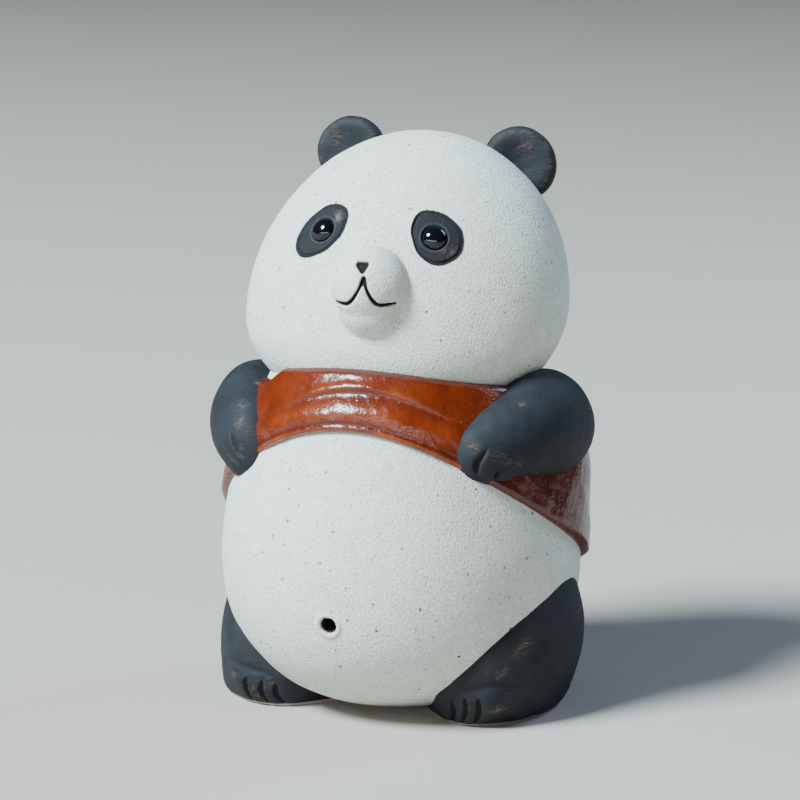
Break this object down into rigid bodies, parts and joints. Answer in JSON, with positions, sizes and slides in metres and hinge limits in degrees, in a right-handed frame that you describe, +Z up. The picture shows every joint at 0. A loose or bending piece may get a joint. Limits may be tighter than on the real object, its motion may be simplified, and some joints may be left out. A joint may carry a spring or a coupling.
{
  "type": "panda figurine",
  "caption": "Small stoneware figurine of a round, standing panda in a short glazed vest, paws on its belly, for a tea tray, desk or shelf.",
  "frame": {"origin": "on the resting plane, under the axis of the belly", "axes": "+Z up through the head, -Y to the figure's front, +X to the figure's own left"},
  "size_m": [0.06, 0.0585, 0.09],
  "materials": {
    "unglazed_stoneware": "bare fired sandy stoneware, pale and matte, with fine dark iron specks",
    "oxide_wash": "matte blue-black iron oxide wash over stoneware, rubbed back to copper brown on high spots",
    "vest_glaze": "glossy orange-brown iron glaze",
    "black_glaze": "glossy black glaze beads at the eyes"
  },
  "bodies": {
    "root": {"panda_figurine": "unglazed_stoneware"}
  },
  "joints": []
}
